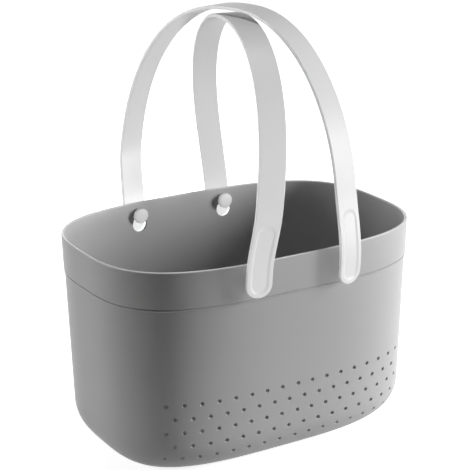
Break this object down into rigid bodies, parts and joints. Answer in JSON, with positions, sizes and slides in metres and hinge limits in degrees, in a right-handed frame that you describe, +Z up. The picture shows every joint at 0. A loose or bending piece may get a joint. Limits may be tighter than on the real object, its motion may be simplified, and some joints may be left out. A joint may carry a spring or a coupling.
{
  "type": "shower basket",
  "caption": "Oval moulded plastic tote with drain holes in its lower walls and floor, and strap handles that cross above its open mouth and hang on studs in keyholes.",
  "frame": {"origin": "on the floor, under the middle of the tub", "axes": "+Z up, +X along the tub, -Y towards the front long wall"},
  "size_m": [0.29, 0.2402, 0.3656],
  "materials": {
    "grey_plastic": "satin moulded polypropylene",
    "white_plastic": "smooth moulded polypropylene"
  },
  "bodies": {
    "tub": {"tub": "grey_plastic"},
    "upper_handle": {"upper_strap": "white_plastic", "upper_rear_stud": "white_plastic", "upper_front_stud": "white_plastic"},
    "lower_handle": {"lower_strap": "white_plastic", "lower_rear_stud": "white_plastic", "lower_front_stud": "white_plastic"}
  },
  "joints": [
    {"name": "upper_handle_swing", "type": "hinge", "parent": "tub", "child": "upper_handle", "pos_m": [0, 0, 0.1695], "axis": [-0.4088, 0.9126, 0.0095], "range_deg": [-1.5, 25]},
    {"name": "lower_handle_swing", "type": "hinge", "parent": "tub", "child": "lower_handle", "pos_m": [0, 0, 0.17175], "axis": [0.4091, 0.9124, -0.0119], "range_deg": [-8, 1]}
  ]
}
